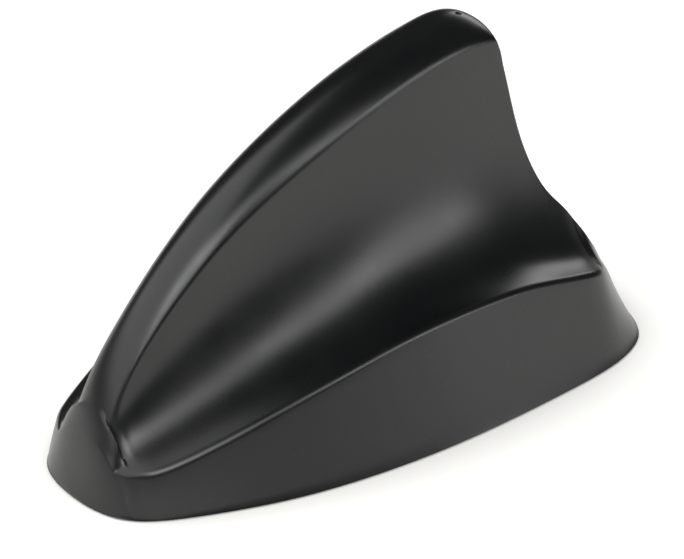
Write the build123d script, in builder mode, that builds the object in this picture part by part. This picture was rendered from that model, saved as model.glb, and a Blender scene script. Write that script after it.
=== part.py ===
from build123d import *
from math import atan2, cos, degrees, radians, sin, tan
import os

os.makedirs("parts", exist_ok=True)

# Frame: X runs to the tail, Y across, Z up from the car roof, with the origin under the middle.
# Driving sizes in millimetres.
length = 114.0
width = 59.0
height = 61.0
wall = 2.2
cover_lift = 0.3
skirt_lean = 17.0
slot_half = 1.8
slot_flare = 0.3
throat_half = 6.0
gate_radius = 0.6
gate_deep = 0.25

# The seal stack under the cover.
gasket_thick = 2.0
gasket_band = 6.0
lip_wide = 1.2
lip_deep = 0.5
plate_thick = 2.5
plate_gap = 0.3
rib_thick = 1.6
rib_high = 2.5
rib_across = 8.5
seal_high = 1.2
seal_deep = 0.9
seal_play = 0.05

# Fixing thread, cable outlet and screws.
thread_radius = 2.5
boss_radius = 6.0
boss_roof = 1.6
boss_clear = 1.47
outlet_radius = 3.2
grommet_radius = 5.0
flange_over = 1.6
flange_thick = 1.1
cover_boss_radius = 3.2
cover_boss_root = 0.7
cover_screw_radius = 1.2
cover_head_radius = 2.3
cover_head_high = 1.3
screw_bite = 4.6
screw_end = 0.4
screw_play = 0.05
post_radius = 2.5
post_in = 3.75
board_screw_radius = 0.9
board_head_radius = 1.9
board_head_high = 1.1

# Electronics on the board.
board_thick = 1.2
board_half = 16.0
board_corner = 2.0
board_play = 0.75
patch_side = 18.0
patch_thick = 4.0
patch_corner = 0.8
patch_clear = 1.0
pad_thick = 0.4
pad_rim = 0.5
electrode_side = 14.5
electrode_clip = 1.6
electrode_thick = 0.1
pin_radius = 0.45
pin_head_radius = 0.9
pin_head_high = 0.25
can_long = 11.0
can_wide = 8.0
can_high = 2.6
can_in = 5.5
can_wall = 0.3
can_round = 0.6
chip_side = 4.0
chip_high = 0.9
chip_edge = 0.15
socket_side = 2.6
socket_base = 0.35
socket_radius = 1.0
socket_high = 0.9
socket_wall = 0.3
socket_pin = 0.3
socket_pitch = 5.2
socket_off = 4.4
smd_long = 1.6
smd_wide = 0.8
smd_high = 0.6
smd_pitch = 3.2

# Radiator in the fin.
sheet = 0.4
blade_thick = 1.4
blade_off = 0.3
blade_gap = 1.2
foam_gap = 0.2
foam_long = 26.0
former_radius = 2.5
coil_radius = 3.0
coil_wire = 0.35
coil_pitch = 1.0
coil_turns = 4
peg_radius = 1.1
tongue_high = 5.0
foot_long = 6.0
foot_wide = 7.0
foot_thick = 1.2
phone_long = 20.0
phone_high = 3.6
phone_flange = 4.0
phone_in = 1.0

# Stations along the fin as shares of the length.
fixing_at = 0.37
outlet_at = 0.52
coil_at = 0.50
rim_peak_at = 0.66
patch_at = 0.64
foot_at = 0.77
gate_at = 0.715
foam_at = 0.56
board_from = 0.29
board_to = 0.815
front_screws = (0.20, 0.34)
rear_screws = (0.85, 0.50)

# Levels that follow from the stack.
plate_low = gasket_thick
plate_top = plate_low + plate_thick
draft = tan(radians(skirt_lean))

# Guide rails of the outer form: shares of the length, then shares of the half width or the height.
plan_rail = Spline(
    (0, 0), (0.0016, 0.10), (0.008, 0.234), (0.043, 0.447), (0.132, 0.647), (0.279, 0.854), (0.495, 0.983),
    (0.70, 1), (0.827, 0.972), (0.90, 0.89), (0.943, 0.762), (0.972, 0.57), (0.99, 0.33), (0.998, 0.13),
    (1, 0),
)
top_rail = Spline(
    (0, 0), (0.006, 0.037), (0.02, 0.123), (0.06, 0.295), (0.12, 0.449), (0.20, 0.598), (0.30, 0.735),
    (0.42, 0.851), (0.55, 0.940), (0.65, 0.986), (0.70, 1), (0.745, 0.962), (0.775, 0.887), (0.80, 0.79),
    (0.825, 0.68), (0.87, 0.49), (0.925, 0.31), (0.965, 0.165), (1, 0),
)
rim_height = Spline(
    (0.02, 0.112), (0.078, 0.136), (0.148, 0.171), (0.263, 0.228), (0.389, 0.272), (0.55, 0.302),
    (0.66, 0.308), (0.768, 0.283), (0.812, 0.255), (0.868, 0.212), (0.91, 0.175), (0.97, 0.140),
)
rim_plan = Spline(
    (0.02, 0.27), (0.04, 0.345), (0.078, 0.458), (0.148, 0.57), (0.263, 0.688), (0.389, 0.766), (0.60, 0.81),
    (0.70, 0.805), (0.812, 0.752), (0.868, 0.685), (0.905, 0.59), (0.93, 0.47), (0.962, 0.27),
)
crease_height = Spline(
    (0.034, 0.127), (0.043, 0.182), (0.059, 0.257), (0.091, 0.354), (0.124, 0.428), (0.178, 0.530),
    (0.245, 0.633), (0.328, 0.728), (0.428, 0.810), (0.548, 0.885), (0.668, 0.933), (0.715, 0.938),
    (0.747, 0.897), (0.772, 0.795), (0.799, 0.650), (0.849, 0.465), (0.90, 0.353), (0.937, 0.268),
    (0.962, 0.17),
)
crease_plan = Spline(
    (0.034, 0.258), (0.043, 0.175), (0.059, 0.145), (0.091, 0.131), (0.124, 0.121), (0.178, 0.120),
    (0.245, 0.131), (0.328, 0.154), (0.428, 0.192), (0.548, 0.229), (0.668, 0.251), (0.71, 0.247),
    (0.748, 0.225), (0.803, 0.19), (0.858, 0.175), (0.92, 0.135), (0.962, 0.09),
)
inner_front = ((0, 0), (0, 0.67), (0.26, 1), (0.70, 1))
inner_rear = ((0.70, 1), (0.945, 1), (1, 0.68), (1, 0))

# How a section changes along the fin: shares of the length, then degrees, millimetres or parts of a chord.
crown_limit = ((0.043, 60), (0.09, 74), (0.8, 74), (0.87, 45), (0.93, 18), (0.96, 6))
flank_fall = (
    (0.043, 66), (0.06, 82), (0.09, 93), (0.18, 94), (0.37, 90), (0.75, 88), (0.8, 84), (0.87, 58),
    (0.93, 25), (0.96, 8),
)
floor_fall = ((0.043, 12), (0.1, 8), (0.4, 4), (0.7, 5), (0.82, 8), (0.9, 16), (0.96, 14))
crease_round = ((0.03, 0.6), (0.06, 1.2), (0.2, 1.5), (0.68, 1.5), (0.76, 2.4), (0.86, 2.0), (0.96, 0.6))
rim_round = ((0.03, 0.5), (0.08, 0.8), (0.9, 0.8), (0.96, 0.6))
skirt_bow = ((0.04, 8), (0.09, 2), (0.2, 0), (0.85, 0), (0.96, 6))
cove_pull = ((0.04, 0.36), (0.1, 0.55), (0.8, 0.6), (0.9, 0.36))
plain_pull = 0.36
nose_splits = (0.56, 0.62, 0.74, 0.80)
nose_fullness = 2.6
tail_splits = (0.12, 0.16, 0.37, 0.42)
tail_fullness = 2.2

# Side view of the slot in the fin: shares of the length and the height, then the way inwards.
slot_top = ((0.25, 0.50, 1, -0.47), (0.40, 0.69, 0.48, -0.88), (0.56, 0.81, 0.28, -0.96), (0.70, 0.85, 0, -1))
slot_rear = ((0.70, 0.85, 0, -1), (0.75, 0.72, -0.88, -0.47), (0.83, 0.40, -1, -0.22))
throat_levels = (0.48, 0.39, 0.30)
ceiling_stations = (0.03, 0.14, 0.26, 0.39, 0.55, 0.66, 0.80, 0.90, 0.969)

# Cross sections are drawn at these shares of the length.
nose_stations = (0.0018, 0.006, 0.0135, 0.0235, 0.0325)
fin_stations = (
    0.044, 0.062, 0.09, 0.13, 0.185, 0.255, 0.335, 0.42, 0.50, 0.57, 0.63, 0.68, 0.715, 0.742, 0.763, 0.783,
    0.805, 0.833, 0.866, 0.90, 0.93, 0.953,
)
tail_stations = (0.973, 0.988, 0.9985)


def along(share):
    """X of a station given as a share of the length."""
    return (share - 0.5) * length


def share_at(x):
    """Share of the length at an X."""
    return x / length + 0.5


def read(rail, share):
    """Height or half width of a rail at a station."""
    low, high = 0.0, 1.0
    for _ in range(40):
        middle = (low + high) / 2
        if (rail @ middle).X < share:
            low = middle
        else:
            high = middle
    return (rail @ low).Y


def blend(share, *stops):
    """A value that runs straight from stop to stop."""
    for (u0, v0), (u1, v1) in zip(stops, stops[1:]):
        if share <= u1:
            return v0 + (v1 - v0) * max(0, (share - u0) / (u1 - u0))
    return stops[-1][1]


def heading(angle):
    """Direction in a section, outward and down by the angle."""
    return Vector(cos(radians(angle)), -sin(radians(angle)))


def strip(start, leave, end, arrive, first=plain_pull, last=plain_pull):
    """Four poles of one smooth strip of a section."""
    chord = (end - start).length
    return [start, start + leave * chord * first, end - arrive * chord * last, end]


def arch(share, splits, power):
    """Plain rounded section of the nose or the tail, from the top to the foot."""
    half = read(plan_rail, share) * width / 2
    top = read(top_rail, share) * height
    marks = []
    for part in (0, *splits, 1):
        fall = power * top / half * part ** (power - 1)
        marks.append((Vector(part * half, top * (1 - part**power)), heading(degrees(atan2(fall, 1)))))
    return [strip(p, d, q, e) for (p, d), (q, e) in zip(marks, marks[1:])]


def finned(share):
    """Section with the spine crown, its crease, the hollow flank, the rim and the skirt."""
    foot = Vector(read(plan_rail, share) * width / 2, 0)
    top = Vector(0, read(top_rail, share) * height)
    rim = Vector(read(rim_plan, share) * width / 2, read(rim_height, share) * height)
    crease = Vector(read(crease_plan, share) * width / 2, read(crease_height, share) * height)
    flank = heading(blend(share, *flank_fall))
    floor = heading(blend(share, *floor_fall))
    crease_soft = blend(share, *crease_round)
    rim_soft = blend(share, *rim_round)
    bow = blend(share, *skirt_bow)
    hug = blend(share, *cove_pull)
    rounding = 2 * degrees(atan2(top.Y - crease.Y, crease.X + crease_soft))
    crown = heading(min(rounding, blend(share, *crown_limit)))
    lean = degrees(atan2(rim.Y - foot.Y, foot.X - rim.X))
    skirt_top = heading(lean - bow)
    skirt_foot = heading(lean + bow)
    crown_end = crease - crown * crease_soft
    flank_start = crease + flank * crease_soft
    floor_end = rim - floor * rim_soft
    skirt_start = rim + skirt_top * rim_soft
    chord = (floor_end - flank_start).length
    rise = max((crease.Y - rim.Y) / chord, plain_pull)
    run = (rim.X - crease.X) / chord
    return [
        strip(top, Vector(1, 0), crown_end, crown),
        strip(crown_end, crown, flank_start, flank),
        strip(flank_start, flank, floor_end, floor, hug * rise, hug * run),
        strip(floor_end, floor, skirt_start, skirt_top),
        strip(skirt_start, skirt_top, foot, skirt_foot),
    ]


def section(share):
    """Closed wire across the fin at a station."""
    if share in nose_stations:
        half = arch(share, nose_splits, nose_fullness)
    elif share in tail_stations:
        half = arch(share, tail_splits, tail_fullness)
    else:
        half = finned(share)
    x = along(share)
    foot = half[-1][-1].X
    right = [Bezier(*[(x, p.X, p.Y) for p in reversed(poles)]) for poles in reversed(half)]
    left = [Bezier(*[(x, -p.X, p.Y) for p in poles]) for poles in half]
    return Wire([Line((x, -foot, 0), (x, foot, 0)), *right, *left])


def footprint(inset, level=0):
    """Closed plan outline, drawn in from the foot of the cover, in four plain curves."""
    curves = []
    for side in (1, -1):
        for shares in (inner_front, inner_rear):
            points = [
                ((share - 0.5) * (length - 2 * inset), side * part * (width / 2 - inset), level)
                for share, part in shares
            ]
            curves.append(Bezier(*points))
    return Wire(curves)


def inner_inset(level):
    """Inset of the cover's inner wall at a level."""
    return wall / cos(radians(skirt_lean)) + level * draft


def ceiling_at(share):
    """Height of the cover's inner ceiling at a station."""
    return read(rim_height, share) * height - wall


def fin_side(inset=0):
    """Side view of the slot in the tall fin, which the blade and its radiator follow."""
    top, rear = [
        [(along(share) + inset * x, part * height + inset * z) for share, part, x, z in line]
        for line in (slot_top, slot_rear)
    ]
    with BuildSketch() as view:
        with BuildLine():
            Spline(*top)
            Spline(*rear)
            Polyline(top[0], (top[0][0], board_top), (rear[-1][0], board_top), rear[-1])
        make_face()
    return view.sketch


# Heights under the cover's ceiling: the patch sets the board, and the fixing boss has its own gap.
patch_stack = pad_thick + patch_thick + electrode_thick + pin_head_high
board_top = ceiling_at(patch_at) - patch_clear - patch_stack
board_high = board_top - board_thick
boss_top = ceiling_at(fixing_at) - boss_clear
thread_deep = boss_top - boss_roof - plate_low

# Places of the screws, the board and its posts.
screw_places = [
    (along(share), side * part * width / 2)
    for share, part in (front_screws, rear_screws)
    for side in (-1, 1)
]
board_x = along((board_from + board_to) / 2)
board_long = (board_to - board_from) * length
post_places = [
    (board_x + end * (board_long / 2 - post_in), side * (board_half - post_in))
    for end in (-1, 1)
    for side in (-1, 1)
]

# Room inside the lower cover, under the hollow flanks.
room_top = ceiling_at(rim_peak_at) + wall
with BuildPart() as room:
    add(Solid.make_loft([footprint(inner_inset(z), z) for z in (0, room_top)], ruled=True))
    with BuildSketch(Plane.XZ):
        with BuildLine():
            ceiling = Spline(*[
                (along(share), ceiling_at(share))
                for share in ceiling_stations
            ])
            Polyline(
                ceiling @ 1, (length / 2, (ceiling @ 1).Y), (length / 2, 0), (-length / 2, 0),
                (-length / 2, (ceiling @ 0).Y), ceiling @ 0,
            )
        make_face()
    extrude(amount=width, both=True, mode=Mode.INTERSECT)

# Slot in the fin, narrow at the top and wide at its throat.
neck, chin, mouth = [share * height for share in throat_levels]
with BuildPart() as slot:
    with BuildSketch(Plane.XZ):
        add(fin_side())
    extrude(amount=width, both=True)
    with BuildSketch(Plane.YZ):
        with BuildLine():
            Polyline(
                (0, height), (slot_half, height), (slot_half + slot_flare, neck), (throat_half / 2, chin),
                (throat_half, mouth), (throat_half, 0), (0, 0),
            )
            mirror(about=Plane.YZ)
        make_face()
    extrude(amount=length, both=True, mode=Mode.INTERSECT)

# Fin cover: one hollow moulding with screw bosses inside and the gate mark on its spine.
with BuildPart() as fin_cover:
    add(Solid.make_loft([section(u) for u in (*nose_stations, *fin_stations, *tail_stations)]), clean=False)
    split(bisect_by=Plane.XY.offset(cover_lift), keep=Keep.TOP)
    add(room.part, mode=Mode.SUBTRACT, clean=False)
    add(slot.part, mode=Mode.SUBTRACT, clean=False)
    for x, y in screw_places:
        with BuildSketch(Plane.XY.offset(plate_top)):
            with Locations((x, y)):
                Circle(cover_boss_radius)
        extrude(amount=ceiling_at(share_at(x)) + cover_boss_root - plate_top, clean=False)
    with BuildSketch(Plane.XY.offset(plate_top)):
        with Locations(*screw_places):
            Circle(cover_screw_radius + screw_play)
    extrude(amount=screw_bite, mode=Mode.SUBTRACT, clean=False)
    with BuildSketch(Plane.XY.offset(read(top_rail, gate_at) * height - gate_deep)):
        with Locations((along(gate_at), 0)):
            Circle(gate_radius)
    extrude(amount=2 * gate_deep, mode=Mode.SUBTRACT, clean=False)
fin_cover.part.label = "fin_cover"
export_step(fin_cover.part, "parts/fin_cover.step")

# Roof gasket: a rubber ring under the plate with two sealing lips.
gasket_in = inner_inset(gasket_thick) + plate_gap
with BuildPart() as roof_gasket:
    with BuildSketch():
        add(Face(footprint(gasket_in)))
        add(Face(footprint(gasket_in + gasket_band)), mode=Mode.SUBTRACT)
    extrude(amount=gasket_thick)
    with BuildSketch():
        add(Face(footprint(gasket_in + lip_wide)))
        add(Face(footprint(gasket_in + gasket_band - lip_wide)), mode=Mode.SUBTRACT)
    extrude(amount=lip_deep, mode=Mode.SUBTRACT)
roof_gasket.part.label = "roof_gasket"
export_step(roof_gasket.part, "parts/roof_gasket.step")

# Base plate: a die casting with stiffening ribs, board posts, the fixing boss and the cable outlet.
plate_in = inner_inset(plate_top) + plate_gap
groove_low = plate_low + (plate_thick - seal_high) / 2
with BuildPart() as base_plate:
    with BuildSketch(Plane.XY.offset(plate_low)):
        add(Face(footprint(plate_in)))
    extrude(amount=plate_thick)
    with BuildSketch(Plane.XY.offset(plate_low)):
        with Locations((along(fixing_at), 0)):
            Circle(boss_radius)
    extrude(amount=boss_top - plate_low)
    with BuildSketch(Plane.XY.offset(plate_top)):
        with Locations((board_x, 0)):
            with GridLocations(0, 2 * rib_across, 1, 2):
                Rectangle(board_long, rib_thick)
    extrude(amount=rib_high)
    with BuildSketch(Plane.XY.offset(plate_top)):
        with Locations(*post_places):
            Circle(post_radius)
    extrude(amount=board_high - plate_top)
    with BuildSketch(Plane.XY.offset(groove_low)):
        add(Face(footprint(plate_in)))
        add(Face(footprint(plate_in + seal_deep)), mode=Mode.SUBTRACT)
    extrude(amount=seal_high, mode=Mode.SUBTRACT)
    with BuildSketch(Plane.XY.offset(plate_low)):
        with Locations((along(fixing_at), 0)):
            Circle(thread_radius)
    extrude(amount=thread_deep, mode=Mode.SUBTRACT)
    with BuildSketch(Plane.XY.offset(plate_low)):
        with Locations((along(outlet_at), 0)):
            Circle(grommet_radius)
        with Locations(*screw_places):
            Circle(cover_screw_radius + screw_play)
    extrude(amount=plate_thick, mode=Mode.SUBTRACT)
    with BuildSketch(Plane.XY.offset(plate_low)):
        with Locations(*screw_places):
            Circle(cover_head_radius + screw_play)
    extrude(amount=cover_head_high, mode=Mode.SUBTRACT)
    with BuildSketch(Plane.XY.offset(plate_top)):
        with Locations(*post_places):
            Circle(board_screw_radius + screw_play)
    extrude(amount=board_high - plate_top, mode=Mode.SUBTRACT)
base_plate.part.label = "base_plate"
export_step(base_plate.part, "parts/base_plate.step")

# Cover seal: a rubber ring in the plate's edge groove, against the cover's inner wall.
seal_in = inner_inset(groove_low + seal_high) + seal_play
with BuildPart() as cover_seal:
    with BuildSketch(Plane.XY.offset(groove_low)):
        add(Face(footprint(seal_in)))
        add(Face(footprint(plate_in + seal_deep)), mode=Mode.SUBTRACT)
    extrude(amount=seal_high)
cover_seal.part.label = "cover_seal"
export_step(cover_seal.part, "parts/cover_seal.step")

# Cover screws: pan heads sunk in the plate, shanks in the cover's bosses.
with BuildPart() as cover_screws:
    with BuildSketch(Plane.XY.offset(plate_low)):
        with Locations(*screw_places):
            Circle(cover_head_radius)
    extrude(amount=cover_head_high)
    with BuildSketch(Plane.XY.offset(plate_low)):
        with Locations(*screw_places):
            Circle(cover_screw_radius)
    extrude(amount=plate_thick + screw_bite - screw_end)
    with BuildSketch(Plane.XY.offset(plate_low)):
        with Locations(*screw_places):
            RegularPolygon(cover_screw_radius, 6)
    extrude(amount=cover_head_high / 2, mode=Mode.SUBTRACT)
cover_screws.part.label = "cover_screws"
export_step(cover_screws.part, "parts/cover_screws.step")

# Cable grommet: a rubber bush with a flange on each side of the plate.
with BuildPart() as cable_grommet:
    with BuildSketch(Plane.XZ):
        with Locations(((outlet_radius + grommet_radius) / 2, (plate_low + plate_top) / 2)):
            Rectangle(grommet_radius - outlet_radius, plate_thick + 2 * flange_thick)
        with Locations(((outlet_radius + grommet_radius + flange_over) / 2, (plate_low + plate_top) / 2)):
            with GridLocations(0, plate_thick + flange_thick, 1, 2):
                Rectangle(grommet_radius + flange_over - outlet_radius, flange_thick)
    revolve(axis=Axis.Z)
cable_grommet.part.position = (along(outlet_at), 0, 0)
cable_grommet.part.label = "cable_grommet"
export_step(cable_grommet.part, "parts/cable_grommet.step")

# Main board on the four posts, with holes for the boss, the screws, the blade's pegs and the patch pin.
coil_x = along(coil_at)
patch_x = along(patch_at)
foot_x = along(foot_at)
with BuildPart() as main_board:
    with BuildSketch(Plane.XY.offset(board_high)):
        with Locations((board_x, 0)):
            RectangleRounded(board_long, 2 * board_half, board_corner)
        with Locations((along(fixing_at), 0)):
            Circle(boss_radius + board_play, mode=Mode.SUBTRACT)
        with Locations(*post_places):
            Circle(board_screw_radius + screw_play, mode=Mode.SUBTRACT)
        with Locations((coil_x, 0), (foot_x, 0)):
            Circle(peg_radius + screw_play, mode=Mode.SUBTRACT)
        with Locations((patch_x, 0)):
            Circle(pin_radius + screw_play, mode=Mode.SUBTRACT)
    extrude(amount=board_thick)
main_board.part.label = "main_board"
export_step(main_board.part, "parts/main_board.step")

# Board screws in the posts.
with BuildPart() as board_screws:
    with BuildSketch(Plane.XY.offset(board_top)):
        with Locations(*post_places):
            Circle(board_head_radius)
    extrude(amount=board_head_high)
    with BuildSketch(Plane.XY.offset(board_top)):
        with Locations(*post_places):
            Circle(board_screw_radius)
    extrude(amount=-(board_top - plate_top - screw_end))
    with BuildSketch(Plane.XY.offset(board_top + board_head_high)):
        with Locations(*post_places):
            RegularPolygon(board_screw_radius, 6)
    extrude(amount=-board_head_high / 2, mode=Mode.SUBTRACT)
board_screws.part.label = "board_screws"
export_step(board_screws.part, "parts/board_screws.step")

# Coaxial sockets under the board, above the cable outlet.
with BuildPart() as coax_sockets:
    with BuildSketch(Plane.XY.offset(board_high)):
        with Locations((along(outlet_at) + socket_off, 0)):
            with GridLocations(0, socket_pitch, 1, 3):
                Rectangle(socket_side, socket_side)
    extrude(amount=-socket_base)
    with BuildSketch(Plane.XY.offset(board_high - socket_base)):
        with Locations((along(outlet_at) + socket_off, 0)):
            with GridLocations(0, socket_pitch, 1, 3):
                Circle(socket_radius)
                Circle(socket_radius - socket_wall, mode=Mode.SUBTRACT)
                Circle(socket_pin)
    extrude(amount=-socket_high)
coax_sockets.part.label = "coax_sockets"
export_step(coax_sockets.part, "parts/coax_sockets.step")

# Satellite patch: a tape, a ceramic block, a silver face and the feed pin through them.
patch_low = board_top + pad_thick
patch_top = patch_low + patch_thick
with BuildPart() as patch_pad:
    with BuildSketch(Plane.XY.offset(board_top)):
        with Locations((patch_x, 0)):
            RectangleRounded(patch_side - 2 * pad_rim, patch_side - 2 * pad_rim, patch_corner)
            Circle(pin_radius + screw_play, mode=Mode.SUBTRACT)
    extrude(amount=pad_thick)
patch_pad.part.label = "patch_pad"
export_step(patch_pad.part, "parts/patch_pad.step")

with BuildPart() as patch_antenna:
    with BuildSketch(Plane.XY.offset(patch_low)):
        with Locations((patch_x, 0)):
            RectangleRounded(patch_side, patch_side, patch_corner)
            Circle(pin_radius + screw_play, mode=Mode.SUBTRACT)
    extrude(amount=patch_thick)
patch_antenna.part.label = "patch_antenna"
export_step(patch_antenna.part, "parts/patch_antenna.step")

with BuildPart() as patch_electrode:
    with BuildSketch(Plane.XY.offset(patch_top)) as silver_face:
        with Locations((patch_x, 0)):
            Rectangle(electrode_side, electrode_side)
        chamfer(silver_face.vertices().group_by(Axis.X)[0], electrode_clip)
        with Locations((patch_x, 0)):
            Circle(pin_radius + screw_play, mode=Mode.SUBTRACT)
    extrude(amount=electrode_thick)
patch_electrode.part.label = "patch_electrode"
export_step(patch_electrode.part, "parts/patch_electrode.step")

pin_top = patch_top + electrode_thick
with BuildPart() as patch_pin:
    with BuildSketch(Plane.XY.offset(board_high)):
        with Locations((patch_x, 0)):
            Circle(pin_radius)
    extrude(amount=pin_top - board_high)
    with BuildSketch(Plane.XY.offset(pin_top)):
        with Locations((patch_x, 0)):
            Circle(pin_head_radius)
    extrude(amount=pin_head_high)
patch_pin.part.label = "patch_pin"
export_step(patch_pin.part, "parts/patch_pin.step")


def chip(y):
    """Flat amplifier chip on the board."""
    with BuildPart() as piece:
        with BuildSketch(Plane.XY.offset(board_top)):
            with Locations((coil_x, y)):
                Rectangle(chip_side, chip_side)
        extrude(amount=chip_high)
        chamfer(piece.edges().group_by(Axis.Z)[-1], chip_edge)
    return piece.part


def can(y):
    """Screening can, open below and folded at its corners."""
    with BuildPart() as piece:
        with BuildSketch(Plane.XY.offset(board_top)):
            with Locations((coil_x, y)):
                Rectangle(can_long, can_wide)
        extrude(amount=can_high)
        fillet(piece.edges().group_by(Axis.Z)[-1], can_round)
        offset(amount=-can_wall, openings=piece.faces().sort_by(Axis.Z)[0])
    return piece.part


can_across = board_half - can_in

# Receiver amplifier on one side of the coil and radio amplifier on the other, each under its can.
with BuildPart() as lna_chip:
    add(chip(-can_across))
lna_chip.part.label = "lna_chip"
export_step(lna_chip.part, "parts/lna_chip.step")

with BuildPart() as lna_shield:
    add(can(-can_across))
lna_shield.part.label = "lna_shield"
export_step(lna_shield.part, "parts/lna_shield.step")

with BuildPart() as radio_chip:
    add(chip(can_across))
radio_chip.part.label = "radio_chip"
export_step(radio_chip.part, "parts/radio_chip.step")

with BuildPart() as radio_shield:
    add(can(can_across))
radio_shield.part.label = "radio_shield"
export_step(radio_shield.part, "parts/radio_shield.step")

# Small passive parts between the rear foot and the board's rear screws.
smd_across = (foot_wide / 2 + board_half - post_in - board_head_radius) / 2
with BuildPart() as smd_parts:
    for side in (-1, 1):
        with BuildSketch(Plane.XY.offset(board_top)):
            with Locations((foot_x, side * smd_across)):
                with GridLocations(smd_pitch, smd_pitch, 2, 2):
                    Rectangle(smd_wide, smd_long)
        extrude(amount=smd_high)
smd_parts.part.label = "smd_parts"
export_step(smd_parts.part, "parts/smd_parts.step")

# Mast carrier: a moulded blade in the slot on a coil former in front and a foot behind.
blade_low = patch_top + blade_gap
with BuildPart() as mast_carrier:
    with BuildSketch(Plane.XZ.offset(blade_off - blade_thick)):
        add(fin_side(blade_gap))
        with Locations((0, blade_low - height / 2)):
            Rectangle(length, height, mode=Mode.SUBTRACT)
        with Locations((foot_x, (board_top + blade_low) / 2)):
            Rectangle(foot_long, blade_low - board_top)
    extrude(amount=blade_thick)
    with BuildSketch(Plane.XY.offset(board_top)):
        with Locations((foot_x, 0)):
            RectangleRounded(foot_long, foot_wide, peg_radius)
    extrude(amount=foot_thick)
    with BuildSketch(Plane.XY.offset(board_top)):
        with Locations((coil_x, 0)):
            Circle(former_radius)
    extrude(amount=blade_low - board_top)
    with BuildSketch(Plane.XY.offset(board_high)):
        with Locations((coil_x, 0), (foot_x, 0)):
            Circle(peg_radius)
    extrude(amount=board_thick)
mast_carrier.part.label = "mast_carrier"
export_step(mast_carrier.part, "parts/mast_carrier.step")

# Radiator: a sheet on the blade's near face, with a tongue down to the coil.
radiator_low = blade_low + tongue_high
with BuildPart() as radiator_plate:
    with BuildSketch(Plane.XZ.offset(blade_off)):
        add(fin_side(2 * blade_gap))
        with Locations((0, radiator_low - height / 2)):
            Rectangle(length, height, mode=Mode.SUBTRACT)
        with Locations((coil_x, (blade_low + radiator_low) / 2)):
            Rectangle(former_radius, radiator_low - blade_low)
    extrude(amount=sheet)
radiator_plate.part.label = "radiator_plate"
export_step(radiator_plate.part, "parts/radiator_plate.step")

# Loading coil round the former.
with BuildPart() as loading_coil:
    with BuildLine(Plane.XY.offset(board_top + 2 * coil_wire)) as turns:
        Helix(coil_pitch, coil_pitch * coil_turns, coil_radius)
    with BuildSketch(Plane(turns.line @ 0, z_dir=turns.line % 0)):
        RegularPolygon(coil_wire, 6)
    sweep(is_frenet=True)
loading_coil.part.position = (coil_x, 0, 0)
loading_coil.part.label = "loading_coil"
export_step(loading_coil.part, "parts/loading_coil.step")

# Phone antenna: a folded sheet along the board's near edge.
phone_y = phone_in - board_half
phone_top = board_top + phone_high
with BuildPart() as phone_element:
    with BuildSketch(Plane.YZ.offset(patch_x - phone_long / 2)):
        with BuildLine():
            Polyline((phone_y, board_top), (phone_y, phone_top), (phone_y + phone_flange, phone_top))
            offset(amount=sheet, side=Side.RIGHT)
        make_face()
    extrude(amount=phone_long)
phone_element.part.label = "phone_element"
export_step(phone_element.part, "parts/phone_element.step")

# Foam strip that steadies the blade's top in the slot.
with BuildPart() as top_foam:
    with BuildSketch(Plane.XZ.offset(blade_off - blade_thick)):
        add(fin_side(foam_gap))
        add(fin_side(blade_gap), mode=Mode.SUBTRACT)
        with Locations((along(foam_at), height)):
            Rectangle(foam_long, height, mode=Mode.INTERSECT)
    extrude(amount=blade_thick)
top_foam.part.label = "top_foam"
export_step(top_foam.part, "parts/top_foam.step")
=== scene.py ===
import math

import bpy
import numpy as np
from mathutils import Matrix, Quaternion, Vector


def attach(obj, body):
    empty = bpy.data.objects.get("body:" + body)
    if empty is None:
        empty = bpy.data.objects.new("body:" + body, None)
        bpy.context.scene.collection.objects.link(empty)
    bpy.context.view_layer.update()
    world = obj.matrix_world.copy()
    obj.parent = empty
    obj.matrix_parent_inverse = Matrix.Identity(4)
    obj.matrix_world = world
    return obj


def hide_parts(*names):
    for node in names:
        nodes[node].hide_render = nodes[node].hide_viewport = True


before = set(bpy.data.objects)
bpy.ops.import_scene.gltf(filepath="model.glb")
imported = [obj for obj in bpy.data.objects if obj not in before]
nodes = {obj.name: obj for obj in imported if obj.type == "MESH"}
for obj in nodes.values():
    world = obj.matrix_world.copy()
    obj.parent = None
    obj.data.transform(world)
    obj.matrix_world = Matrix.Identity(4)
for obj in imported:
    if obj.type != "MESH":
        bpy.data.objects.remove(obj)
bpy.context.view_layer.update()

MM = 0.001


def linear(code):
    """Linear colour from an sRGB hex value."""
    parts = [int(code[i:i + 2], 16) / 255 for i in (1, 3, 5)]
    return [c / 12.92 if c <= 0.04045 else ((c + 0.055) / 1.055) ** 2.4 for c in parts] + [1.0]


def add_node(tree, kind, settings=None, links=None):
    """One shader node with its settings and the sockets that feed it."""
    node = tree.nodes.new(kind)
    for name, value in (settings or {}).items():
        if hasattr(node, name):
            setattr(node, name, value)
        else:
            node.inputs[name].default_value = value
    for name, source in (links or {}).items():
        tree.links.new(source, node.inputs[name])
    return node


def new_material(name):
    """An empty node material and its tree."""
    material = bpy.data.materials.new(name)
    material.use_nodes = True
    material.node_tree.nodes.clear()
    return material, material.node_tree


def per_mm(size):
    """Noise scale, in cycles a metre, of a pattern whose grains are this many millimetres."""
    return 1 / (size * MM)


# Moulded ABS, mass-coloured black, from a finely spark-eroded tool: satin, with a very fine grain.
ABS_COLOUR = "#0E0F10"
ABS_GRAIN = 0.35
ABS_FLOW = 9.0
ABS_SMOOTH, ABS_DULL = 0.26, 0.31
ABS_IOR = 1.52
ABS_BUMP, ABS_RELIEF = 0.12, 0.02


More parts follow.
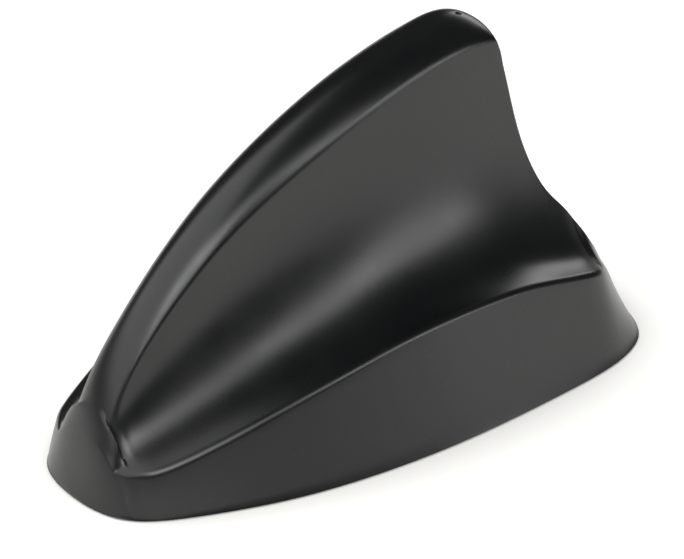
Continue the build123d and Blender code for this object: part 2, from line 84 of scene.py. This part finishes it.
def satin_abs():
    material, tree = new_material("satin_black_abs")
    place = add_node(tree, "ShaderNodeTexCoord").outputs["Object"]
    grain = add_node(tree, "ShaderNodeTexNoise", {"Scale": per_mm(ABS_GRAIN), "Detail": 3.0}, {"Vector": place})
    flow = add_node(tree, "ShaderNodeTexNoise", {"Scale": per_mm(ABS_FLOW), "Detail": 2.0}, {"Vector": place})
    gloss = add_node(
        tree, "ShaderNodeMapRange",
        {"From Min": 0.3, "From Max": 0.7, "To Min": ABS_SMOOTH, "To Max": ABS_DULL}, {"Value": flow.outputs["Fac"]},
    )
    bump = add_node(
        tree, "ShaderNodeBump", {"Strength": ABS_BUMP, "Distance": ABS_RELIEF * MM}, {"Height": grain.outputs["Fac"]},
    )
    shader = add_node(
        tree, "ShaderNodeBsdfPrincipled", {"Base Color": linear(ABS_COLOUR), "IOR": ABS_IOR},
        {"Roughness": gloss.outputs["Result"], "Normal": bump.outputs["Normal"]},
    )
    add_node(tree, "ShaderNodeOutputMaterial", None, {"Surface": shader.outputs["BSDF"]})
    return material


# Shade of the dark specks and strength of the bump on the hidden pieces.
SPECK_SHADE = 0.8
SPECK_BUMP = 0.2


def plain_material(name, colour, roughness, metallic=0.0, grain=0.5, depth=0.02, ior=1.5):
    """Solid finish with a fine mottled colour and a matching bump."""
    material, tree = new_material(name)
    place = add_node(tree, "ShaderNodeTexCoord").outputs["Object"]
    speck = add_node(tree, "ShaderNodeTexNoise", {"Scale": per_mm(grain), "Detail": 3.0}, {"Vector": place})
    light, dark = linear(colour), [SPECK_SHADE * c for c in linear(colour)[:3]] + [1.0]
    tint = add_node(tree, "ShaderNodeMix", {"data_type": "RGBA"}, {"Factor": speck.outputs["Fac"]})
    tint.inputs[6].default_value = dark
    tint.inputs[7].default_value = light
    bump = add_node(
        tree, "ShaderNodeBump", {"Strength": SPECK_BUMP, "Distance": depth * MM}, {"Height": speck.outputs["Fac"]},
    )
    shader = add_node(
        tree, "ShaderNodeBsdfPrincipled", {"Metallic": metallic, "Roughness": roughness, "IOR": ior},
        {"Base Color": tint.outputs[2], "Normal": bump.outputs["Normal"]},
    )
    add_node(tree, "ShaderNodeOutputMaterial", None, {"Surface": shader.outputs["BSDF"]})
    return material


def dress(node, material):
    """Gives a CAD node its material."""
    mesh = nodes[node].data
    mesh.materials.clear()
    mesh.materials.append(material)


# Satin black plastic outside; inside, dull rubber, grey metal, glossy green resist, pale ceramic and red copper.
abs_plastic = satin_abs()
epdm = plain_material("moulded_epdm_rubber", "#1B1B1C", 0.72, grain=0.6)
zinc_casting = plain_material("blasted_zinc_casting", "#A4A6A8", 0.5, metallic=1.0, grain=0.4, depth=0.03)
zinc_steel = plain_material("zinc_plated_steel", "#B9BCC0", 0.32, metallic=1.0, grain=0.3)
laminate = plain_material("green_solder_resist", "#1F5A38", 0.35, grain=1.2)
tape = plain_material("acrylic_foam_tape", "#D8D6C8", 0.8, grain=0.5)
patch_ceramic = plain_material("fired_titanate_ceramic", "#C4AA86", 0.6, grain=0.4)
silver = plain_material("fired_silver", "#D9D6CE", 0.35, metallic=1.0, grain=0.3)
tinplate = plain_material("tinned_steel_sheet", "#C2C5C6", 0.3, metallic=1.0, grain=0.8)
resin = plain_material("moulded_epoxy_resin", "#1C1C1E", 0.55, grain=0.3)
gold = plain_material("gold_flashed_brass", "#D9B25E", 0.28, metallic=1.0, grain=0.3)
chip_ceramic = plain_material("tinned_chip_ceramic", "#8C7457", 0.55, grain=0.2)
natural_nylon = plain_material("natural_nylon_moulding", "#D6D2C4", 0.5, grain=0.6)
copper = plain_material("enamelled_copper_wire", "#B4683A", 0.3, metallic=1.0, grain=0.4)
foam = plain_material("closed_cell_foam", "#2A2A2B", 0.9, grain=0.5, depth=0.1)

FINISHES = {
    abs_plastic: ["fin_cover"],
    epdm: ["roof_gasket", "cover_seal", "cable_grommet"],
    zinc_casting: ["base_plate"],
    zinc_steel: ["cover_screws", "board_screws"],
    laminate: ["main_board"],
    tape: ["patch_pad"],
    patch_ceramic: ["patch_antenna"],
    silver: ["patch_electrode"],
    tinplate: ["patch_pin", "lna_shield", "radio_shield", "radiator_plate", "phone_element"],
    resin: ["lna_chip", "radio_chip"],
    gold: ["coax_sockets"],
    chip_ceramic: ["smd_parts"],
    natural_nylon: ["mast_carrier"],
    copper: ["loading_coil"],
    foam: ["top_foam"],
}
for finish, dressed in FINISHES.items():
    for name in dressed:
        dress(name, finish)


# The cover's skin, which replaces the solid with its lower rim and rounded tail, section by section.
# Stops give shares of the length, then shares of the half width or the height.
SKIN_LENGTH, SKIN_WIDTH, SKIN_HEIGHT = 113.98, 58.8, 60.95
SKIN_WALL = 2.2
SKIN_LIFT = 0.3
NOSE_END, TAIL_END = 0.0018, 0.9985
NOSE_TIP, EDGE_FROM, TAIL_TIP = 0.0305, 0.735, 0.985
FOOT_PLAN = (
    (0.0018, 0), (0.003, 0.10), (0.009, 0.234), (0.043, 0.447), (0.132, 0.647), (0.279, 0.854), (0.495, 0.983),
    (0.70, 1), (0.827, 0.972), (0.90, 0.89), (0.943, 0.762), (0.972, 0.57), (0.989, 0.33), (0.997, 0.13), (0.9985, 0),
)
SPINE_HEIGHT = (
    (0, 0), (0.006, 0.037), (0.02, 0.123), (0.06, 0.295), (0.12, 0.449), (0.20, 0.598), (0.30, 0.735),
    (0.42, 0.851), (0.55, 0.940), (0.65, 0.986), (0.70, 1), (0.73, 0.984), (0.748, 0.935), (0.762, 0.86),
    (0.777, 0.755), (0.80, 0.60), (0.84, 0.422), (0.868, 0.335), (0.89, 0.268), (0.94, 0.175), (0.985, 0.085), (1, 0),
)
RIM_HEIGHT = (
    (0.0305, 0.116), (0.052, 0.125), (0.109, 0.156), (0.154, 0.184), (0.25, 0.241), (0.371, 0.296),
    (0.488, 0.327), (0.59, 0.331), (0.683, 0.321), (0.739, 0.303), (0.794, 0.279), (0.835, 0.260), (0.87, 0.236),
    (0.905, 0.192), (0.945, 0.132), (0.985, 0.07),
)
RIM_PLAN = (
    (0.0305, 0.262), (0.037, 0.312), (0.046, 0.362), (0.06, 0.418), (0.109, 0.509), (0.154, 0.569), (0.25, 0.668),
    (0.371, 0.741), (0.488, 0.774), (0.616, 0.79), (0.70, 0.797), (0.794, 0.785), (0.835, 0.765), (0.868, 0.715),
    (0.91, 0.60), (0.95, 0.43), (0.985, 0.22),
)
CREASE_HEIGHT = (
    (0.0305, 0.117), (0.043, 0.182), (0.059, 0.253), (0.091, 0.345), (0.124, 0.413), (0.178, 0.509),
    (0.245, 0.610), (0.328, 0.704), (0.428, 0.795), (0.548, 0.883), (0.668, 0.937), (0.735, 0.936), (0.985, 0.93),
)
CREASE_PLAN = (
    (0.0305, 0.256), (0.043, 0.177), (0.059, 0.153), (0.091, 0.149), (0.124, 0.152), (0.178, 0.163),
    (0.245, 0.180), (0.328, 0.203), (0.428, 0.224), (0.548, 0.236), (0.668, 0.240), (0.735, 0.236), (0.985, 0.236),
)
# Height of the trailing edge, where the fin is cut off at the rear.
EDGE_HEIGHT = (
    (0.735, 0.936), (0.742, 0.915), (0.750, 0.862), (0.756, 0.819), (0.765, 0.745), (0.773, 0.672), (0.787, 0.59),
    (0.802, 0.52), (0.828, 0.441), (0.853, 0.39), (0.872, 0.338), (0.886, 0.292), (0.905, 0.238), (0.92, 0.20),
    (0.985, 0.08),
)
# How a section changes along the fin: shares of the length, then degrees, millimetres or parts of a chord.
CROWN_LIMIT = ((0.0305, 52), (0.06, 66), (0.1, 74), (0.8, 74), (0.86, 40), (0.9, 14), (0.985, 10))
FLANK_FALL = ((0.0305, 34), (0.04, 58), (0.06, 80), (0.09, 91), (0.18, 94), (0.37, 90), (0.75, 88), (0.985, 88))
FLOOR_FALL = ((0.0305, 14), (0.1, 8), (0.4, 4), (0.7, 5), (0.83, 7), (0.87, 16), (0.92, 42), (0.985, 55))
CREASE_ROUND = ((0.0305, 0.4), (0.06, 0.9), (0.2, 0.8), (0.68, 0.8), (0.79, 0.5), (0.84, 0.15), (0.985, 0.15))
RIM_ROUND = ((0.0305, 0.3), (0.08, 1.0), (0.84, 1.0), (0.9, 2.0), (0.985, 1.2))
SKIRT_BOW = ((0.0305, 10), (0.06, 5), (0.1, 2), (0.2, 0), (0.85, 0), (0.985, 6))
COVE_PULL = ((0.0305, 0.36), (0.1, 0.55), (0.3, 0.6), (0.985, 0.6))
PLAIN_PULL = 0.36
NOSE_SPLITS, NOSE_FULLNESS = (0.60, 0.64, 0.66, 0.70), 2.6
TAIL_SPLITS, TAIL_FULLNESS = (0.50, 0.56, 0.62, 0.70), 3.0
GATE_SHARE, GATE_SIDE, GATE_RADIUS, GATE_DEPTH = 0.705, -1.4, 0.6, 0.3
ROWS = 250
STRIP_POINTS = 14
FINE = 400
RAIL_FINE = 80
ROUND_SHARE = 0.35
EDGE_STEP = 0.25
THIN = 0.001
SMOOTH_ANGLE = 60
GATE_SIDES = 32


def rail(stops):
    """A smooth curve through the stops, as fine samples of share and value."""
    points = np.array(stops)
    strides = np.diff(points, axis=0) / (1, points[:, 1].max())
    run = np.concatenate([[0], np.cumsum(np.linalg.norm(strides, axis=1))])
    step = np.diff(run)
    system, load = np.eye(len(run)), np.zeros_like(points)
    for i in range(1, len(run) - 1):
        system[i, i - 1:i + 2] = step[i - 1], 2 * (step[i - 1] + step[i]), step[i]
        load[i] = 6 * ((points[i + 1] - points[i]) / step[i] - (points[i] - points[i - 1]) / step[i - 1])
    bend = np.linalg.solve(system, load)
    fine = []
    for i, length in enumerate(step):
        far = np.linspace(0, 1, RAIL_FINE)[:, None]
        near = 1 - far
        fine.append(
            near * points[i] + far * points[i + 1]
            + ((near**3 - near) * bend[i] + (far**3 - far) * bend[i + 1]) * length**2 / 6
        )
    shares, values = np.concatenate(fine).T
    return np.maximum.accumulate(shares), values


def heading(angle):
    """Direction in a section, outward and down by the angle."""
    return np.array([math.cos(math.radians(angle)), -math.sin(math.radians(angle))])


def strip(start, leave, end, arrive, first=PLAIN_PULL, last=PLAIN_PULL, count=STRIP_POINTS):
    """Points on one smooth strip of a section."""
    chord = np.linalg.norm(end - start)
    poles = start, start + leave * chord * first, end - arrive * chord * last, end
    t = np.linspace(0, 1, count + 1)[:, None]
    s = 1 - t
    return s**3 * poles[0] + 3 * s * s * t * poles[1] + 3 * s * t * t * poles[2] + t**3 * poles[3]


def arch(half, top, splits, power):
    """Plain rounded section of the nose or the tail, from the top to the foot."""
    marks = []
    for part in (0, *splits, 1):
        fall = power * top / half * part ** (power - 1)
        marks.append((np.array([part * half, top * (1 - part**power)]), heading(math.degrees(math.atan(fall)))))
    return [strip(p, d, q, e) for (p, d), (q, e) in zip(marks, marks[1:])]


def below(points, level):
    """The part of a falling strip under a level, evenly sampled."""
    places = np.arange(len(points))
    kept = np.linspace(np.interp(-level, -points[:, 1], places), places[-1], STRIP_POINTS + 1)
    return np.stack([np.interp(kept, places, line) for line in points.T], axis=1)


def finned(foot, top, rim, crease, edge, turns):
    """Section with the spine crown, its crease, the hollow flank, the rim and the skirt."""
    crown_limit, flank_fall, floor_fall, crease_soft, rim_soft, bow, hug = turns
    room = ROUND_SHARE * np.linalg.norm(rim - crease)
    crease_soft, rim_soft = min(room, crease_soft), min(room, rim_soft)
    flank, floor_way = heading(flank_fall), heading(floor_fall)
    lean = math.degrees(math.atan2(rim[1] - foot[1], foot[0] - rim[0]))
    skirt_top, skirt_foot = heading(lean - bow), heading(lean + bow)
    floor_end, skirt_start = rim - floor_way * rim_soft, rim + skirt_top * rim_soft
    span = floor_end - crease
    chord = np.linalg.norm(span)
    rise, reach = max(-span[1] / chord, PLAIN_PULL), max(span[0] / chord, 0)
    cove = strip(crease, flank, floor_end, floor_way, hug * rise, hug * reach, FINE)
    edge = max(min(edge, crease[1]), floor_end[1] + EDGE_STEP * rim_soft)
    crease = below(cove, edge)[0]
    cove = below(cove, edge - min(crease_soft, rim_soft) * abs(flank[1]))
    flank = cove[1] - cove[0]
    flank = flank / np.linalg.norm(flank)
    rounding = 2 * math.degrees(math.atan2(top[1] - crease[1], crease[0] + crease_soft))
    crown = heading(min(rounding, crown_limit))
    crown_end = crease - crown * crease_soft
    return [
        strip(top, np.array([1, 0]), crown_end, crown),
        strip(crown_end, crown, cove[0], flank),
        cove,
        strip(floor_end, floor_way, skirt_start, skirt_top),
        strip(skirt_start, skirt_top, foot, skirt_foot),
    ]


def half_section(share, rails, turns):
    """Half widths and heights from the spine to the foot at a station."""
    half, top, rim_z, rim_y, crease_z, crease_y, edge = [np.interp(share, *line) for line in rails]
    half, top = max(half * SKIN_WIDTH / 2, THIN), top * SKIN_HEIGHT
    if share < NOSE_TIP:
        strips = arch(half, top, NOSE_SPLITS, NOSE_FULLNESS)
    elif share > TAIL_TIP:
        strips = arch(half, top, TAIL_SPLITS, TAIL_FULLNESS)
    else:
        rim = np.array([rim_y * SKIN_WIDTH / 2, rim_z * SKIN_HEIGHT])
        crease = np.array([crease_y * SKIN_WIDTH / 2, crease_z * SKIN_HEIGHT])
        edge = edge * SKIN_HEIGHT if share > EDGE_FROM else crease[1]
        here = [np.interp(share, *line) for line in turns]
        strips = finned(np.array([half, 0]), np.array([0, top]), rim, crease, edge, here)
    return np.concatenate([strips[0][:1]] + [points[1:] for points in strips])


def gate_mark(skin):
    """The small round pit that the moulding gate leaves on the spine."""
    x = (GATE_SHARE - 0.5) * SKIN_LENGTH
    near = Vector((x, GATE_SIDE))
    top = max(v.co.z for v in skin.data.vertices if (v.co.xy / MM - near).length < 2 * GATE_RADIUS)
    bpy.ops.object.select_all(action="DESELECT")
    bpy.ops.mesh.primitive_cylinder_add(
        vertices=GATE_SIDES, radius=GATE_RADIUS * MM, depth=2 * GATE_DEPTH * MM, location=(x * MM, GATE_SIDE * MM, top),
    )
    pin = bpy.context.object
    bpy.context.view_layer.objects.active = skin
    pit = skin.modifiers.new("gate", "BOOLEAN")
    pit.operation = "DIFFERENCE"
    pit.object = pin
    bpy.ops.object.modifier_apply(modifier=pit.name)
    bpy.data.objects.remove(pin)
    skin.select_set(True)


def cover_skin():
    """The moulded cover: a grid laid over the sections, then given its wall and the gate mark."""
    rails = [
        rail(line)
        for line in (FOOT_PLAN, SPINE_HEIGHT, RIM_HEIGHT, RIM_PLAN, CREASE_HEIGHT, CREASE_PLAN, EDGE_HEIGHT)
    ]
    turns = [
        rail(line)
        for line in (CROWN_LIMIT, FLANK_FALL, FLOOR_FALL, CREASE_ROUND, RIM_ROUND, SKIRT_BOW, COVE_PULL)
    ]
    columns = 5 * STRIP_POINTS
    bpy.ops.object.select_all(action="DESELECT")
    bpy.ops.mesh.primitive_grid_add(x_subdivisions=ROWS, y_subdivisions=2 * columns, size=2, location=(0, 0, 0))
    skin = bpy.context.object
    skin.name = "fin_cover_skin"
    rows = {}
    for vertex in skin.data.vertices:
        row = round((vertex.co.x + 1) / 2 * ROWS)
        column = round(vertex.co.y * columns)
        if row not in rows:
            part = (1 - math.cos(math.pi * row / ROWS)) / 2
            share = NOSE_END + (TAIL_END - NOSE_END) * part
            rows[row] = (share - 0.5) * SKIN_LENGTH, half_section(share, rails, turns)
        x, points = rows[row]
        y, z = points[abs(column)]
        low = row in (0, ROWS)
        vertex.co = x * MM, math.copysign(y, column) * MM, (SKIN_LIFT if low else max(z, SKIN_LIFT)) * MM
    shell = skin.modifiers.new("wall", "SOLIDIFY")
    shell.thickness = SKIN_WALL * MM
    shell.offset = -1
    bpy.ops.object.modifier_apply(modifier=shell.name)
    gate_mark(skin)
    for vertex in skin.data.vertices:
        vertex.co.z = max(vertex.co.z, SKIN_LIFT * MM)
    bpy.ops.object.shade_smooth_by_angle(angle=math.radians(SMOOTH_ANGLE))
    skin.data.materials.append(abs_plastic)
    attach(skin, "root")
    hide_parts("fin_cover")


cover_skin()


# The floor, a white sheet that glows a little for the eye and in reflections. Ambient occlusion fades the glow near the
# object, so its shadow there is partly the lamps' real shadow and partly a painted contact shadow.
FLOOR_HALF = 3.0
FLOOR_COLOUR = "#F6F5F2"
FLOOR_GLOW = 0.42
GLOW_COLOUR = "#FFFFFD"
SHADOW_REACH = 22 * MM
SHADOW_FROM = 0.5
SHADOW_SAMPLES = 8


def floor():
    bpy.ops.object.select_all(action="DESELECT")
    bpy.ops.mesh.primitive_plane_add(size=2 * FLOOR_HALF, location=(0, 0, 0))
    sheet = bpy.context.object
    sheet.name = "floor"
    material, tree = new_material("pale_paper_sweep")
    paper = add_node(tree, "ShaderNodeBsdfDiffuse", {"Color": linear(FLOOR_COLOUR)})
    path = add_node(tree, "ShaderNodeLightPath").outputs
    seen = add_node(tree, "ShaderNodeMath", {"operation": "ADD"})
    tree.links.new(path["Is Camera Ray"], seen.inputs[0])
    tree.links.new(path["Is Glossy Ray"], seen.inputs[1])
    shown = add_node(tree, "ShaderNodeMath", {"operation": "ADD"})
    tree.links.new(seen.outputs["Value"], shown.inputs[0])
    tree.links.new(path["Is Transmission Ray"], shown.inputs[1])
    # Painted contact shadow: ambient occlusion dims the floor's glow close to the object.
    painted_shadow_ao = add_node(tree, "ShaderNodeAmbientOcclusion", {"Distance": SHADOW_REACH, "samples": SHADOW_SAMPLES})
    clear = add_node(
        tree, "ShaderNodeMapRange", {"From Min": SHADOW_FROM, "From Max": 1.0, "To Max": FLOOR_GLOW},
        {"Value": painted_shadow_ao.outputs["AO"]},
    )
    strength = add_node(tree, "ShaderNodeMath", {"operation": "MULTIPLY"})
    tree.links.new(shown.outputs["Value"], strength.inputs[0])
    tree.links.new(clear.outputs["Result"], strength.inputs[1])
    glow = add_node(
        tree, "ShaderNodeEmission", {"Color": linear(GLOW_COLOUR)}, {"Strength": strength.outputs["Value"]},
    )
    surface = add_node(tree, "ShaderNodeAddShader")
    tree.links.new(paper.outputs["BSDF"], surface.inputs[0])
    tree.links.new(glow.outputs["Emission"], surface.inputs[1])
    add_node(tree, "ShaderNodeOutputMaterial", None, {"Surface": surface.outputs["Shader"]})
    sheet.data.materials.append(material)


floor()

# Camera at the photograph's viewing angle.
CAMERA_TURN = 41.0
CAMERA_PITCH = 28.0
CAMERA_PLACE = Vector((-186.1, -213.1, 169.1)) * MM
LENS = 100.0
SENSOR = 36.0
CLIP_START = 0.01


def camera():
    turn, pitch = math.radians(CAMERA_TURN), math.radians(CAMERA_PITCH)
    forward = Vector((math.sin(turn) * math.cos(pitch), math.cos(turn) * math.cos(pitch), -math.sin(pitch)))
    data = bpy.data.cameras.new("camera")
    data.lens = LENS
    data.sensor_width = SENSOR
    data.sensor_fit = "HORIZONTAL"
    data.clip_start = CLIP_START
    eye = bpy.data.objects.new("camera", data)
    eye.location = CAMERA_PLACE
    eye.rotation_euler = forward.to_track_quat("-Z", "Y").to_euler()
    bpy.context.scene.collection.objects.link(eye)
    bpy.context.scene.camera = eye


camera()


# Soft studio light from five boxes: a wide one to the left, a slanted strip to the right, two in front and one behind.
LAMP_REACH = 0.9


def soft_box(name, turn, rise, roll, wide, tall, radiance):
    """A box lamp seen from the object at this turn from -Y and this rise, facing the object."""
    turn, rise = math.radians(turn), math.radians(rise)
    way = Vector((math.sin(turn) * math.cos(rise), -math.cos(turn) * math.cos(rise), math.sin(rise)))
    data = bpy.data.lights.new(name, "AREA")
    data.shape = "RECTANGLE"
    data.size = wide
    data.size_y = tall
    data.energy = radiance * math.pi * wide * tall
    lamp = bpy.data.objects.new(name, data)
    lamp.location = way * LAMP_REACH
    facing = (-way).to_track_quat("-Z", "Y") @ Quaternion((0, 0, 1), math.radians(roll))
    lamp.rotation_euler = facing.to_euler()
    bpy.context.scene.collection.objects.link(lamp)


soft_box("left_box", -114, 45, -10, 1.6, 1.0, 1.75)
soft_box("right_strip", 20, 28, 130, 1.0, 0.2, 4.6)
soft_box("front_box", -40, 52, 9, 0.76, 0.2, 2.1)
soft_box("nose_box", -42, 38, 0, 0.42, 0.3, 6.0)
soft_box("back_box", 114, 26, 0, 0.5, 0.25, 3.0)

# Dim grey room around the boxes.
WORLD_COLOUR = "#363636"
scene = bpy.context.scene
world = bpy.data.worlds.new("dim_studio")
world.use_nodes = True
world.node_tree.nodes["Background"].inputs["Color"].default_value = linear(WORLD_COLOUR)
scene.world = world
scene.view_settings.view_transform = "Standard"
